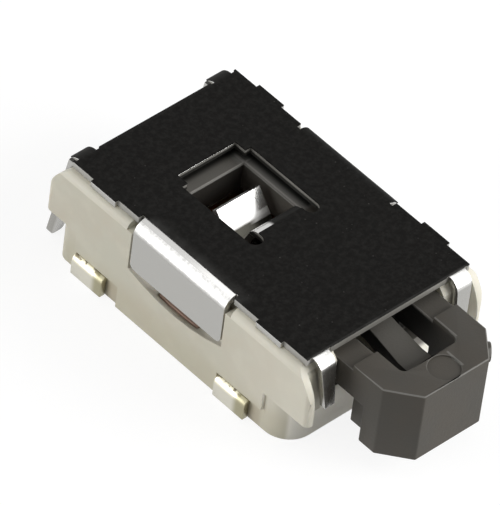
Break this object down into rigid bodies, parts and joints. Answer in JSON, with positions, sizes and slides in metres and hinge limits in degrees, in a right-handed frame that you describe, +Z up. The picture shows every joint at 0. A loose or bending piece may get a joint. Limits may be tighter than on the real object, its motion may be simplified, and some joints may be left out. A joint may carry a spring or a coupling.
{
  "type": "side push tactile switch",
  "caption": "Low surface-mount tactile switch with a dark side button, ivory housing, folded steel cover with a tongue in its window, black top film and folded terminals.",
  "frame": {"origin": "on the solder plane, under the middle of the cover's flat", "axes": "+Z up from the circuit board, +Y from the button towards the rear legs, so the button points along -Y and is pushed along +Y, +X to the right seen from the button's side"},
  "size_m": [0.0034, 0.0065, 0.0017],
  "materials": {
    "ivory_resin": "satin moulded heat-resistant resin",
    "stainless_sheet": "plain rolled",
    "black_film": "slightly grainy polyimide-like film",
    "charcoal_resin": "satin moulded resin",
    "pale_resin": "satin",
    "amber_film": "glossy polyimide film",
    "spring_steel": "bright",
    "plated_brass": "tin or silver plated, pale"
  },
  "bodies": {
    "switch_body": {"housing": "ivory_resin", "cover": "stainless_sheet", "top_film": "black_film", "pusher": "pale_resin", "dome_film": "amber_film", "snap_dome": "spring_steel", "centre_contact": "plated_brass", "outer_contact": "plated_brass"},
    "button": {"slider_button": "charcoal_resin"}
  },
  "joints": [
    {"name": "slide", "type": "slide", "parent": "switch_body", "child": "button", "axis": [0, 1, 0], "range_m": [0, 0.00025], "stiffness_N_per_m": 300, "springref_m": -0.0002}
  ]
}
